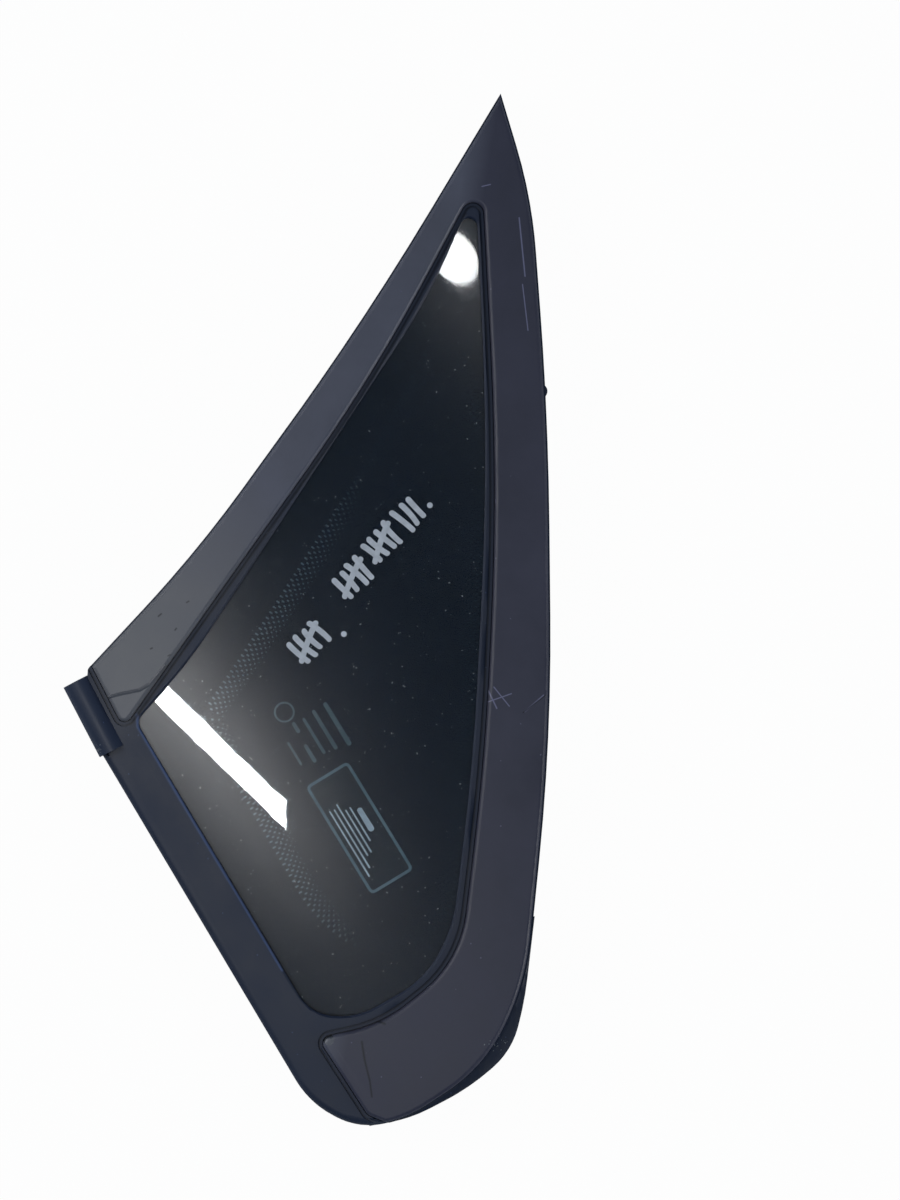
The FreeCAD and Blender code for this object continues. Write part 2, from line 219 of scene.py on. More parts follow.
def smooth_copy(node, name, material, step, sharp=math.radians(32), drop=0.0):
    """Stand in for a curved CAD piece with the same form, cut finely enough to shine smoothly.

    The drop sinks it a little below the pane, in mm.
    """
    bm = bmesh.new()
    bm.from_mesh(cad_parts[node].data)
    bmesh.ops.remove_doubles(bm, verts=bm.verts, dist=2e-6)
    unbend(bm)
    bmesh.ops.translate(bm, verts=bm.verts, vec=(0, 0, -drop * MM))
    bmesh.ops.dissolve_limit(bm, angle_limit=math.radians(0.3), verts=bm.verts, edges=bm.edges)
    slice_along(bm, step, UP_BODY, BELT_FRONT + UP_BODY * CROWN_FROM_BELT, SLICE_REACH)
    bend(bm)
    bmesh.ops.recalc_face_normals(bm, faces=bm.faces)
    piece = piece_from(bm, name, material, sharp)
    even = piece.modifiers.new("even_shading", "WEIGHTED_NORMAL")
    even.keep_sharp = True
    even.weight = 100
    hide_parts(node)
    return piece


def dress(node, material):
    """Give a carried-over CAD piece its finish."""
    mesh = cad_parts[node].data
    mesh.materials.clear()
    mesh.materials.append(material)


def surface_tree(node):
    """A CAD piece's surface, to find what lies under a plan point."""
    bm = bmesh.new()
    bm.from_mesh(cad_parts[node].data)
    tree = BVHTree.FromBMesh(bm)
    bm.free()
    return tree


def add_stadium(bm, centre, length, width, angle, relief, thickness, bow=0.0, segments=12):
    """Add one flat mark with round ends, its top face at a height above the pane's outer face."""
    mark = bmesh.new()
    bmesh.ops.create_circle(mark, cap_ends=False, segments=segments, radius=width / 2)
    half = max(length - width, 0.0) / 2
    for vertex in mark.verts:
        vertex.co.x += math.copysign(half, vertex.co.x)
    if bow:
        sides = [edge for edge in mark.edges if edge.calc_length() > width]
        bmesh.ops.subdivide_edges(mark, edges=sides, cuts=9)
        for vertex in mark.verts:
            vertex.co.y += bow * (1 - (vertex.co.x / (half + width / 2)) ** 2)
    bmesh.ops.contextual_create(mark, geom=mark.edges[:])
    raised = bmesh.ops.extrude_face_region(mark, geom=mark.faces[:])
    tops = [item for item in raised["geom"] if isinstance(item, bmesh.types.BMVert)]
    bmesh.ops.translate(mark, verts=tops, vec=(0, 0, thickness))
    place = Matrix.Translation((centre[0], centre[1], relief - thickness)) @ Matrix.Rotation(angle, 4, "Z")
    bmesh.ops.transform(mark, matrix=place, verts=mark.verts)
    bmesh.ops.recalc_face_normals(mark, faces=mark.faces)
    mesh = bpy.data.meshes.new("mark")
    mark.to_mesh(mesh)
    mark.free()
    bm.from_mesh(mesh)
    bpy.data.meshes.remove(mesh)


def add_lump(bm, grounds, spot, size, chance):
    """Add one uneven lump, half sunk in the highest of the surfaces under a plan point; none where there is none."""
    hits = [tree.ray_cast(Vector((spot.x, spot.y, 1.0)), DOWN)[0] for tree in grounds]
    hits = [hit for hit in hits if hit]
    if not hits:
        return
    top = max(hits, key=lambda hit: hit.z)
    verts = bmesh.ops.create_icosphere(bm, subdivisions=1, radius=size / 2)["verts"]
    for vertex in verts:
        vertex.co *= chance.uniform(0.7, 1.2)
    squash = Matrix.Diagonal((chance.uniform(0.8, 1.5), chance.uniform(0.7, 1.0), 0.6, 1.0))
    turn = Matrix.Rotation(chance.uniform(0, math.pi), 4, "Z")
    bmesh.ops.transform(bm, matrix=Matrix.Translation(top) @ turn @ squash, verts=verts)


def finish_marks(bm, name, material):
    """Bend a set of marks over the window and make an object of them."""
    bend(bm)
    bmesh.ops.recalc_face_normals(bm, faces=bm.faces)
    return piece_from(bm, name, material)


def walk_outline(corners, spacing):
    """Places at an even spacing along a rounded outline, each with its outward direction, in mm."""
    count = len(corners)
    line = []
    for index, (x, y, radius) in enumerate(corners):
        here = Vector((x, y, 0))
        back = Vector(corners[index - 1][:2]).to_3d() - here
        ahead = Vector(corners[(index + 1) % count][:2]).to_3d() - here
        half_turn = back.angle(ahead) / 2
        reach = radius / math.tan(half_turn) if radius else 0.49 * min(back.length, ahead.length)
        start = here + back.normalized() * reach
        end = here + ahead.normalized() * reach
        line.extend(interpolate_bezier(start, start.lerp(here, 0.6), end.lerp(here, 0.6), end, 14))
    line.append(line[0])
    places = []
    carried = 0.0
    for start, end in zip(line, line[1:]):
        run = end - start
        if run.length < 1e-6:
            continue
        at = spacing - carried
        while at <= run.length:
            spot = start + run * (at / run.length)
            places.append((spot.to_2d(), Vector((-run.y, run.x)).normalized()))
            at += spacing
        carried = run.length - (at - spacing)
    return places


# Node groups that several finishes share


def new_group(name, inputs, outputs):
    """Start a shader node group with named inputs and outputs."""
    group = bpy.data.node_groups.new(name, "ShaderNodeTree")
    for label, kind, default in inputs:
        socket = group.interface.new_socket(name=label, in_out="INPUT", socket_type=kind)
        if default is not None:
            socket.default_value = default
    for label, kind in outputs:
        group.interface.new_socket(name=label, in_out="OUTPUT", socket_type=kind)
    start = group.nodes.new("NodeGroupInput")
    end = group.nodes.new("NodeGroupOutput")
    return group, start, end


def add_math(tree, operation, first, second=None, third=None, clamp=False):
    """Place a Math node and join or set its inputs."""
    node = tree.nodes.new("ShaderNodeMath")
    node.operation = operation
    node.use_clamp = clamp
    for socket, value in zip(node.inputs, (first, second, third)):
        if isinstance(value, (int, float)):
            socket.default_value = value
        elif value is not None:
            tree.links.new(value, socket)
    return node.outputs[0]


def add_vector_math(tree, operation, first, second=None):
    """Place a Vector Math node and join or set its inputs."""
    node = tree.nodes.new("ShaderNodeVectorMath")
    node.operation = operation
    for socket, value in zip(node.inputs, (first, second)):
        if isinstance(value, bpy.types.NodeSocket):
            tree.links.new(value, socket)
        elif value is not None:
            socket.default_value = tuple(value)
    return node


def make_line_mark_group():
    """Line mark: 1 on a straight line between two plan points, falling to 0 at its width."""
    group, start, end = new_group(
        "line_mark",
        (("Place", "NodeSocketVector", None), ("From", "NodeSocketVector", None), ("To", "NodeSocketVector", None),
         ("Width", "NodeSocketFloat", 0.001)),
        (("Mask", "NodeSocketFloat"),),
    )
    flat = add_vector_math(group, "MULTIPLY", start.outputs["Place"], (1.0, 1.0, 0.0)).outputs[0]
    offset = add_vector_math(group, "SUBTRACT", flat, start.outputs["From"]).outputs[0]
    run = add_vector_math(group, "SUBTRACT", start.outputs["To"], start.outputs["From"]).outputs[0]
    along = add_vector_math(group, "DOT_PRODUCT", offset, run).outputs["Value"]
    square = add_vector_math(group, "DOT_PRODUCT", run, run).outputs["Value"]
    share = add_math(group, "DIVIDE", along, square, clamp=True)
    scaled = add_vector_math(group, "SCALE", run)
    group.links.new(share, scaled.inputs["Scale"])
    away = add_vector_math(group, "SUBTRACT", offset, scaled.outputs[0]).outputs[0]
    distance = add_vector_math(group, "LENGTH", away).outputs["Value"]
    ratio = add_math(group, "DIVIDE", distance, start.outputs["Width"])
    mask = add_math(group, "SUBTRACT", 1.0, ratio, clamp=True)
    group.links.new(mask, end.inputs["Mask"])
    return group


def make_grain_group():
    """Grain: the fine height of a moulded or stretched skin, and slow patches in its tone."""
    group, start, end = new_group(
        "grain",
        (("Place", "NodeSocketVector", None), ("Fine Scale", "NodeSocketFloat", 2500.0),
         ("Patch Scale", "NodeSocketFloat", 25.0)),
        (("Height", "NodeSocketFloat"), ("Patches", "NodeSocketFloat")),
    )
    fine = group.nodes.new("ShaderNodeTexNoise")
    fine.inputs["Detail"].default_value = 2.0
    patch = group.nodes.new("ShaderNodeTexNoise")
    patch.inputs["Detail"].default_value = 5.0
    patch.inputs["Roughness"].default_value = 0.6
    for node, label in ((fine, "Fine Scale"), (patch, "Patch Scale")):
        group.links.new(start.outputs["Place"], node.inputs["Vector"])
        group.links.new(start.outputs[label], node.inputs["Scale"])
    group.links.new(fine.outputs["Fac"], end.inputs["Height"])
    group.links.new(patch.outputs["Fac"], end.inputs["Patches"])
    return group


def make_speck_group():
    """Specks: scattered small spots of dust, 1 on a spot and 0 between them."""
    group, start, end = new_group(
        "specks",
        (("Place", "NodeSocketVector", None), ("Scale", "NodeSocketFloat", 300.0),
         ("Size", "NodeSocketFloat", 0.12), ("Share", "NodeSocketFloat", 0.2)),
        (("Mask", "NodeSocketFloat"),),
    )
    cells = group.nodes.new("ShaderNodeTexVoronoi")
    group.links.new(start.outputs["Place"], cells.inputs["Vector"])
    group.links.new(start.outputs["Scale"], cells.inputs["Scale"])
    near = add_math(group, "LESS_THAN", cells.outputs["Distance"], start.outputs["Size"])
    split = group.nodes.new("ShaderNodeSeparateColor")
    group.links.new(cells.outputs["Color"], split.inputs[0])
    chosen = add_math(group, "LESS_THAN", split.outputs[0], start.outputs["Share"])
    group.links.new(add_math(group, "MULTIPLY", near, chosen), end.inputs["Mask"])
    return group


def shared_group(name, maker):
    """A node group by name, made the first time it is asked for."""
    return bpy.data.node_groups.get(name) or maker()


def new_finish(name, base, roughness, **settings):
    """Start a material: its Principled shader with plain settings, and its Object coordinates."""
    material = bpy.data.materials.new(name)
    material.use_nodes = True
    material.diffuse_color = (*base, 1.0)
    tree = material.node_tree
    shader = tree.nodes["Principled BSDF"]
    shader.inputs["Base Color"].default_value = (*base, 1.0)
    shader.inputs["Roughness"].default_value = roughness
    for label, value in settings.items():
        shader.inputs[label.replace("_", " ")].default_value = value
    place = tree.nodes.new("ShaderNodeTexCoord").outputs["Object"]
    return material, tree, shader, place


def add_group(tree, group, **values):
    """Place a shared group in a material, with its values set or its sockets joined."""
    node = tree.nodes.new("ShaderNodeGroup")
    node.node_tree = group
    for label, value in values.items():
        socket = node.inputs[label.replace("_", " ")]
        if isinstance(value, bpy.types.NodeSocket):
            tree.links.new(value, socket)
        else:
            socket.default_value = value
    return node


def add_mix(tree, share, first, second):
    """Place a colour Mix node; each colour is a triple or a socket."""
    node = tree.nodes.new("ShaderNodeMix")
    node.data_type = "RGBA"
    tree.links.new(share, node.inputs["Factor"])
    for label, value in (("A", first), ("B", second)):
        socket = [item for item in node.inputs if item.name == label and item.type == "RGBA"][0]
        if isinstance(value, bpy.types.NodeSocket):
            tree.links.new(value, socket)
        else:
            socket.default_value = (*value, 1.0)
    return [item for item in node.outputs if item.type == "RGBA"][0]


def add_range(tree, value, low, high, to_low, to_high):
    """Place a Map Range node."""
    node = tree.nodes.new("ShaderNodeMapRange")
    tree.links.new(value, node.inputs["Value"])
    for label, number in (("From Min", low), ("From Max", high), ("To Min", to_low), ("To Max", to_high)):
        node.inputs[label].default_value = number
    return node.outputs["Result"]


def add_bump(tree, shader, height, strength, distance):
    """Join a height to the shader's normal through a Bump node."""
    node = tree.nodes.new("ShaderNodeBump")
    node.inputs["Strength"].default_value = strength
    node.inputs["Distance"].default_value = distance
    tree.links.new(height, node.inputs["Height"])
    tree.links.new(node.outputs["Normal"], shader.inputs["Normal"])
    return node


def scaled(colour, share):
    """A colour made lighter or darker."""
    return tuple(min(channel * share, 1.0) for channel in colour)


def line_marks(tree, place, marks):
    """Join several line marks into one mask; each is two plan points and a width, in mm."""
    total = None
    group = shared_group("line_mark", make_line_mark_group)
    for start, end, width in marks:
        mark = add_group(tree, group, Place=place, From=(start[0] * MM, start[1] * MM, 0),
                         To=(end[0] * MM, end[1] * MM, 0), Width=width * MM).outputs["Mask"]
        total = mark if total is None else add_math(tree, "MAXIMUM", total, mark)
    return total


# Finishes


def glass_finish(tint, haze):
    """Glass with an even polish and a thin film of dirt."""
    material, tree, shader, place = new_finish("glass", tint, 0.0, Transmission_Weight=1.0, IOR=1.36,
                                               Coat_Weight=0.4, Coat_Roughness=0.2)
    grain = add_group(tree, shared_group("grain", make_grain_group), Place=place, Fine_Scale=900.0, Patch_Scale=16.0)
    tree.links.new(add_range(tree, grain.outputs["Patches"], 0.35, 0.7, 0.0, haze), shader.inputs["Roughness"])
    return material


def plain_print(name, colour, roughness=0.5, gloss=0.0):
    """Printed or painted mark with slight wear; one that is bonded to the glass has no gloss of its own."""
    material, tree, shader, place = new_finish(name, colour, roughness, Specular_IOR_Level=gloss)
    grain = add_group(tree, shared_group("grain", make_grain_group), Place=place, Fine_Scale=1400.0,
                      Patch_Scale=220.0)
    worn = add_range(tree, grain.outputs["Patches"], 0.35, 0.62, 0.0, 1.0)
    tree.links.new(add_mix(tree, worn, scaled(colour, 0.82), colour), shader.inputs["Base Color"])
    return material


def dot_finish(colour, faint):
    """Printed dots, faint on the roof side of the pane."""
    material, tree, shader, place = new_finish("dots", colour, 0.5, Specular_IOR_Level=0.0)
    split = tree.nodes.new("ShaderNodeSeparateXYZ")
    tree.links.new(place, split.inputs[0])
    far = add_range(tree, split.outputs["X"], -0.004, 0.026, 0.0, 1.0)
    tree.links.new(add_mix(tree, far, colour, faint), shader.inputs["Base Color"])
    return material


def moulded_finish(name, colour, roughness, grain_depth, painted_sheen=None, light=(), dark=(), ridges=(), dust=0.06):
    """Satin moulded plastic or rubber: fine grain, slow patches of tone, dust, light and dark marks and ridges, and,
    where given, a painted sheen in its base colour. The light marks are light scratches on the wrap and a painted
    highlight on the frame.
    """
    material, tree, shader, place = new_finish(name, colour, roughness)
    grain = add_group(tree, shared_group("grain", make_grain_group), Place=place, Fine_Scale=2200.0, Patch_Scale=30.0)
    specks = add_group(tree, shared_group("specks", make_speck_group), Place=place, Scale=420.0, Size=0.16,
                       Share=dust)
    # Where given, the sheen function paints a sheen of lamp light into the base colour
    tone = add_vector_math(tree, "SCALE", painted_sheen(tree, place) if painted_sheen else colour)
    tree.links.new(add_range(tree, grain.outputs["Patches"], 0.3, 0.7, 0.88, 1.14), tone.inputs["Scale"])
    skin = add_mix(tree, specks.outputs["Mask"], tone.outputs[0], scaled(colour, 2.6))
    # Light marks: light scratches on the wrap, and a painted highlight along the frame's lip
    if light:
        skin = add_mix(tree, line_marks(tree, place, light), skin, scaled(colour, 5.0))
    if dark:
        skin = add_mix(tree, line_marks(tree, place, dark), skin, scaled(colour, 0.15))
    tree.links.new(skin, shader.inputs["Base Color"])
    rough = add_range(tree, grain.outputs["Patches"], 0.3, 0.7, roughness - 0.05, roughness + 0.07)
    tree.links.new(rough, shader.inputs["Roughness"])
    normal = add_bump(tree, shader, grain.outputs["Height"], 0.35, grain_depth)
    if ridges:
        raised = add_bump(tree, shader, line_marks(tree, place, ridges), 1.0, 0.0006)
        tree.links.new(normal.outputs["Normal"], raised.inputs["Normal"])
    return material


def wrap_painted_sheen(colour, front, foot):
    """Painted sheen on the wrap: all of the front leg is painted paler, most of all near its foot, where lamp light
    shines on it.
    """
    def make(tree, place):
        flat = add_vector_math(tree, "MULTIPLY", place, (1.0, 1.0, 0.0)).outputs[0]
        aside = add_vector_math(tree, "DOT_PRODUCT", flat, LEGS_SPLIT_NORMAL.to_3d()).outputs["Value"]
        split = LEGS_SPLIT_POINT.dot(LEGS_SPLIT_NORMAL)
        front_sheen_mask = add_range(tree, aside, split, split + 0.012, 0.0, 1.0)
        away = add_vector_math(tree, "SUBTRACT", flat, TRIM_FOOT.to_3d()).outputs[0]
        distance = add_vector_math(tree, "LENGTH", away).outputs["Value"]
        foot_sheen_mask = add_range(tree, distance, 0.012, 0.105, 1.0, 0.0)
        return add_mix(tree, front_sheen_mask, colour, add_mix(tree, foot_sheen_mask, front, foot))
    return make


def metal_finish(colour):
    """Brushed metal of the cover trim under its wrap."""
    material, tree, shader, place = new_finish("trim_metal", colour, 0.5, Metallic=1.0)
    grain = add_group(tree, shared_group("grain", make_grain_group), Place=place, Fine_Scale=3000.0, Patch_Scale=60.0)
    rough = add_range(tree, grain.outputs["Patches"], 0.3, 0.7, 0.42, 0.6)
    tree.links.new(rough, shader.inputs["Roughness"])
    add_bump(tree, shader, grain.outputs["Height"], 0.3, 0.00002)
    return material


def adhesive_finish(name, colour):
    """Cut and torn body adhesive: soft lumps and a dull skin."""
    material, tree, shader, place = new_finish(name, colour, 0.62)
    grain = add_group(tree, shared_group("grain", make_grain_group), Place=place, Fine_Scale=700.0, Patch_Scale=180.0)
    tone = add_range(tree, grain.outputs["Patches"], 0.35, 0.7, 0.0, 1.0)
    tree.links.new(add_mix(tree, tone, scaled(colour, 0.7), scaled(colour, 1.7)), shader.inputs["Base Color"])
    add_bump(tree, shader, grain.outputs["Height"], 0.8, 0.0004)
    return material


# The line that parts the two legs of the trim, and the place of the front leg's foot, which bound the painted sheen
# on the wrap
LEGS_SPLIT_POINT = Vector((93.0, 248.0)) * MM
LEGS_SPLIT_NORMAL = Vector((-454.0, 73.0)).normalized()
TRIM_FOOT = Vector((-85.0, -20.0)) * MM

# Light scratches and scuffs on the wrap: two plan points and a width, in mm
WRAP_SCRATCHES = (
    ((101.8, 188.0), (104.6, 160.0), 0.5),
    ((103.4, 156.0), (106.0, 134.0), 0.4),
    ((87.0, -38.6), (91.0, -47.0), 0.5),
    ((89.6, -36.8), (97.0, -46.0), 0.4),
    ((86.6, -44.0), (98.0, -40.0), 0.4),
    ((104.4, -48.6), (113.4, -40.8), 0.5),
    ((51.0, 198.0), (60.0, 202.0), 0.4),
    ((84.0, 203.0), (88.0, 204.0), 0.4),
)
# Dark scratch, slit and pits in the wrap
WRAP_DARK_MARKS = (
    ((103.7, -49.0), (114.2, -40.8), 0.5),
    ((26.4, -206.9), (27.8, -216.0), 0.9),
    ((27.8, -216.0), (30.2, -225.6), 0.8),
    ((30.2, -225.6), (31.2, -233.3), 0.7),
    ((34.1, -197.0), (37.4, -198.2), 0.9),
    ((-71.0, -3.0), (-69.6, -1.8), 0.6),
    ((-63.0, -9.6), (-62.4, -8.8), 0.6),
    ((-57.4, 3.6), (-56.4, 4.2), 0.6),
    ((-74.8, -18.6), (-74.0, -18.2), 0.6),
    ((-66.4, -22.0), (-65.4, -21.4), 0.5),
)
# Ridge where the two sheets of the wrap meet
WRAP_RIDGES = (
    ((-95.0, -41.8), (-89.8, -40.3), 0.9),
    ((-89.8, -40.3), (-80.2, -38.4), 0.9),
    ((-80.2, -38.4), (-75.4, -35.5), 0.9),
    ((-75.4, -35.5), (-70.6, -29.8), 0.9),
    ((-70.6, -29.8), (-67.7, -26.4), 0.8),
)
# Painted highlight along the frame's lip on the glass, where its bevel catches lamp light
FRAME_PAINTED_HIGHLIGHTS = (
    ((-81.6, -50.4), (-81.2, -56.0), 1.1),
    ((-81.2, -56.0), (-60.3, -91.8), 1.1),
    ((-60.3, -91.8), (-38.0, -129.2), 1.0),
    ((-38.0, -129.2), (-12.0, -173.0), 0.8),
)
# Bits of white debris: centre in plan, spread, number and size, in mm
DEBRIS = (
    ((-100.3, -67.7), 2.6, 14, 0.55),
    ((91.7, -207.8), 4.6, 20, 0.5),
    ((-3.4, -228.5), 3.4, 8, 0.45),
)


class PaneSettings(bpy.types.PropertyGroup):
    """Sizes and colours of the pane and of what lies on or behind it."""

    tint: FloatVectorProperty(name="Glass tint", description="Colour of the glass itself", subtype="COLOR",
                              size=3, min=0.0, max=1.0, default=(0.78, 0.86, 0.92))
    haze: FloatProperty(name="Haze", description="Greatest roughness of the dirty glass", min=0.0, max=1.0,
                        default=0.035)
    border: FloatVectorProperty(name="Border", description="Colour of the fired border", subtype="COLOR",
                                size=3, min=0.0, max=1.0, default=(0.0014, 0.0026, 0.0080))
    faint_dots: FloatVectorProperty(name="Faint dots", description="Colour of the dots on the roof side",
                                    subtype="COLOR", size=3, min=0.0, max=1.0, default=(0.012, 0.018, 0.026))
    film: FloatVectorProperty(name="Film", description="Colour of the tint film", subtype="COLOR",
                              size=3, min=0.0, max=1.0, default=(0.0012, 0.0026, 0.0085))
    dots: FloatVectorProperty(name="Dots", description="Colour of the rows of dots", subtype="COLOR",
                              size=3, min=0.0, max=1.0, default=(0.15, 0.20, 0.22))
    dot_pitch: FloatProperty(name="Dot pitch", description="Distance between dots along a row",
                             unit="LENGTH", min=0.001, default=0.0031)
    stroke_width: FloatProperty(name="Stroke width", description="Width of the marker strokes",
                                unit="LENGTH", min=0.0005, default=0.0028)
    stroke: FloatVectorProperty(name="Marker", description="Colour of the marker strokes", subtype="COLOR",
                                size=3, min=0.0, max=1.0, default=(0.86, 0.88, 0.9))
    fleck_count: IntProperty(name="Dust flecks", description="Number of dust flecks on the glass", min=0,
                             default=420)


class FrameSettings(bpy.types.PropertyGroup):
    """Finish of the moulded frame, the seal end and the adhesive."""

    colour: FloatVectorProperty(name="Frame", description="Colour of the moulded frame", subtype="COLOR",
                                size=3, min=0.0, max=1.0, default=(0.019, 0.028, 0.056))
    roughness: FloatProperty(name="Roughness", description="Roughness of the moulded frame", min=0.0, max=1.0,
                             default=0.5)
    adhesive: FloatVectorProperty(name="Adhesive", description="Colour of the body adhesive", subtype="COLOR",
                                  size=3, min=0.0, max=1.0, default=(0.010, 0.010, 0.011))


class TrimSettings(bpy.types.PropertyGroup):
    """Finish of the cover trim and its wrap."""

    colour: FloatVectorProperty(name="Wrap", description="Colour of the wrap", subtype="COLOR",
                                size=3, min=0.0, max=1.0, default=(0.058, 0.056, 0.084))
    roughness: FloatProperty(name="Roughness", description="Roughness of the wrap", min=0.0, max=1.0,
                             default=0.42)
    metal: FloatVectorProperty(name="Metal", description="Colour of the bare metal", subtype="COLOR",
                               size=3, min=0.0, max=1.0, default=(0.13, 0.135, 0.15))
    # Painted sheen: the front leg's colour is paler to stand in for lamp light shining on it
    front: FloatVectorProperty(name="Front leg", description="Colour of the wrap on the front leg", subtype="COLOR",
                               size=3, min=0.0, max=1.0, default=(0.128, 0.130, 0.165))
    # Painted sheen: the foot's colour is paler still, for the brightest lamp sheen near the foot
    foot: FloatVectorProperty(name="Foot", description="Colour of the wrap at the front leg's foot",
                              subtype="COLOR", size=3, min=0.0, max=1.0, default=(0.19, 0.185, 0.19))


class StageSettings(bpy.types.PropertyGroup):
    """Floor, lamps and camera."""

    floor: FloatVectorProperty(name="Floor", description="Colour of the floor", subtype="COLOR",
                               size=3, min=0.0, max=1.0, default=(0.92, 0.92, 0.92))
    floor_glow: FloatProperty(name="Floor glow", description="Share of plain white that the camera sees in the floor",
                              min=0.0, max=1.0, default=0.975)
    room: FloatProperty(name="Room light", description="Level of the even light from all round", min=0.0,
                        default=0.18)
    camera_height: FloatProperty(name="Camera height", description="Height of the camera over the floor",
                                 unit="LENGTH", min=0.5, default=3.0)
    view_height: FloatProperty(name="View height", description="Height of the picture at the window",
                               unit="LENGTH", min=0.1, default=0.576)


class WINDOW_OT_pane(bpy.types.Operator):
    """Make the curved pane"""

    bl_idname = "window.pane"
    bl_label = "Pane"

    def execute(self, context):
        settings = context.scene.window_pane
        smooth_copy("glass_pane", "pane", glass_finish(settings.tint, settings.haze), 0.004)
        return {"FINISHED"}


class WINDOW_OT_backing(bpy.types.Operator):
    """Give the fired border and the tint film behind the pane their finishes"""

    bl_idname = "window.backing"
    bl_label = "Border and film"

    def execute(self, context):
        settings = context.scene.window_pane
        smooth_copy("printed_border", "border_print", plain_print("border", settings.border, 0.6), 0.008,
                    drop=BORDER_DROP)
        smooth_copy("tint_film", "film_sheet", plain_print("film", settings.film, 0.6), 0.008,
                    drop=FILM_DROP)
        return {"FINISHED"}


class WINDOW_OT_fade_dots(bpy.types.Operator):
    """Lay the rows of dots along the inner edge of the border"""

    bl_idname = "window.fade_dots"
    bl_label = "Fade dots"

    def execute(self, context):
        settings = context.scene.window_pane
        bm = bmesh.new()
        places = walk_outline(CLEAR_CORNERS, settings.dot_pitch / MM / 2)
        for index, (spot, out) in enumerate(places):
            for row, (distance, length, width) in enumerate(DOT_ROWS):
                if (index + row) % 2:
                    continue
                at = (spot + out * distance) * MM
                angle = math.atan2(out.y, out.x)
                add_stadium(bm, at, length * MM, width * MM, angle, PANE_BACK - DOT_DROP * MM, 0.00001, segments=8)
        finish_marks(bm, "fade_dots", dot_finish(settings.dots, settings.faint_dots))
        return {"FINISHED"}


class WINDOW_OT_prints(bpy.types.Operator):
    """Make the label, the approval ring and the plain bars behind the glass"""

    bl_idname = "window.prints"
    bl_label = "Prints"

    def execute(self, context):
        smooth_copy("film_label", "label_sheet", plain_print("label", (0.012, 0.018, 0.022), 0.5), 0.008,
                    drop=LABEL_DROP)
        outline = bmesh.new()
        bmesh.ops.create_circle(outline, cap_ends=True, segments=4, radius=math.sqrt(0.5))
        bmesh.ops.rotate(outline, verts=outline.verts, matrix=Matrix.Rotation(math.radians(45), 3, "Z"))
        bmesh.ops.scale(outline, verts=outline.verts, vec=(LABEL_SIZE[0] * MM, LABEL_SIZE[1] * MM, 1))
        bmesh.ops.bevel(outline, geom=outline.verts[:], affect="VERTICES", offset=LABEL_CORNER * MM,
                        segments=4, profile=0.5, material=-1)
        inside = bmesh.ops.inset_region(outline, faces=outline.faces[:], thickness=LABEL_LINE * MM,
                                        use_boundary=True, use_even_offset=True)
        bmesh.ops.delete(outline, geom=[face for face in outline.faces if face not in inside["faces"]],
                         context="FACES")
        raised = bmesh.ops.extrude_face_region(outline, geom=outline.faces[:])
        tops = [item for item in raised["geom"] if isinstance(item, bmesh.types.BMVert)]
        bmesh.ops.translate(outline, verts=tops, vec=(0, 0, PRINT_THICKNESS))
        place = Matrix.Translation((LABEL_CENTRE * MM).to_3d()) @ Matrix.Rotation(LABEL_ANGLE, 4, "Z")
        place = Matrix.Translation((0, 0, PRINT_TOP - PRINT_THICKNESS)) @ place
        bmesh.ops.transform(outline, matrix=place, verts=outline.verts)
        finish_marks(outline, "label_outline", plain_print("label_edge", (0.22, 0.32, 0.34)))

        bars = bmesh.new()
        turn = Matrix.Rotation(LABEL_ANGLE, 2)
        for along, across, length, width in LABEL_BARS:
            centre = (LABEL_CENTRE + turn @ Vector((along, across))) * MM
            add_stadium(bars, centre, length * MM, width * MM, LABEL_ANGLE, PRINT_TOP, PRINT_THICKNESS)
        finish_marks(bars, "label_bars", plain_print("label_print", (0.90, 0.95, 0.95)))

        faint = bmesh.new()
        for centre, length, width in FAINT_BARS:
            add_stadium(faint, Vector(centre) * MM, length * MM, width * MM, LABEL_ANGLE, PRINT_TOP, PRINT_THICKNESS)
        ring = bmesh.ops.create_circle(faint, cap_ends=True, segments=48, radius=RING_RADIUS * MM)
        disc = ring["verts"][0].link_faces[0]
        band = bmesh.ops.inset_region(faint, faces=[disc], thickness=RING_LINE * MM, use_boundary=True)["faces"]
        bmesh.ops.delete(faint, geom=[disc], context="FACES")
        raised = bmesh.ops.extrude_face_region(faint, geom=band)
        tops = [item for item in raised["geom"] if isinstance(item, bmesh.types.BMVert)]
        bmesh.ops.translate(faint, verts=tops, vec=(0, 0, PRINT_THICKNESS))
        verts = {vertex for face in band for vertex in face.verts} | set(tops)
        bmesh.ops.translate(faint, verts=list(verts),
                            vec=(RING_CENTRE * MM).to_3d() + Vector((0, 0, PRINT_TOP - PRINT_THICKNESS)))
        finish_marks(faint, "faint_prints", plain_print("faint_print", (0.14, 0.20, 0.21)))
        return {"FINISHED"}


